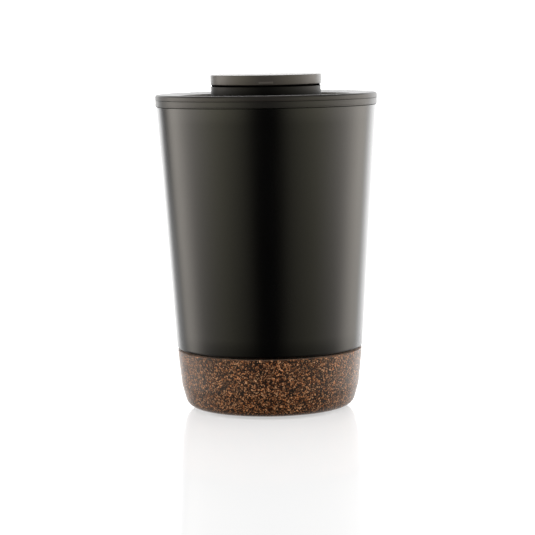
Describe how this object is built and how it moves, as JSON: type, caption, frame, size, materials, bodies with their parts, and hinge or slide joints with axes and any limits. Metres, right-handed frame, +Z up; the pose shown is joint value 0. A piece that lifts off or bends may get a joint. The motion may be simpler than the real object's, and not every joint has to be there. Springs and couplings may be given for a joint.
{
  "type": "travel tumbler",
  "caption": "Conical double-wall travel tumbler with a cork base, a press-in lid and a low round knob that turns to open a drinking valve.",
  "frame": {"origin": "centre of the foot pad's underside, on the surface that the tumbler stands on", "axes": "+Z up along the cup axis, -Y towards the drink slot and the knob's index mark"},
  "size_m": [0.0856, 0.0856, 0.129],
  "materials": {
    "shell_lacquer": "satin black lacquer",
    "steel": "brushed",
    "liner_plastic": "satin moulded black",
    "lid_plastic": "satin moulded black",
    "knob_plastic": "fine spark texture, dark grey-black",
    "valve_plastic": "smooth moulded grey",
    "silicone": "matte silicone",
    "cork": "turned dark granular cork",
    "adhesive": "cured glue",
    "pad": "matte non-slip pad"
  },
  "bodies": {
    "cup": {"outer_shell": "shell_lacquer", "shell_base": "steel", "inner_liner": "liner_plastic", "rim_seal": "silicone", "cork_base": "cork", "base_adhesive": "adhesive", "foot_pad": "pad"},
    "lid": {"lid_body": "lid_plastic", "lid_insert": "valve_plastic", "insert_seal": "silicone", "lid_gasket": "silicone"},
    "knob": {"knob_cap": "knob_plastic", "knob_body": "lid_plastic", "cam_sleeve": "valve_plastic", "knob_screw": "steel", "sleeve_oring": "silicone"},
    "valve": {"valve_stem": "valve_plastic", "cam_pin": "steel", "valve_plate": "valve_plastic", "valve_seal": "silicone", "plate_screw": "steel"}
  },
  "joints": [
    {"name": "lid_pull", "type": "slide", "parent": "cup", "child": "lid", "axis": [0, 0, 1], "range_m": [0, 0.13]},
    {"name": "knob_turn", "type": "hinge", "parent": "lid", "child": "knob", "pos_m": [0, 0, 0.122], "axis": [0, 0, 1], "range_deg": [0, 90]},
    {"name": "valve_travel", "type": "slide", "parent": "lid", "child": "valve", "axis": [0, 0, 1], "range_m": [-0.00402, 0]}
  ],
  "couplings": [
    {"joint": "valve_travel", "follows": "knob_turn", "m_per_rad": -0.0025465}
  ]
}
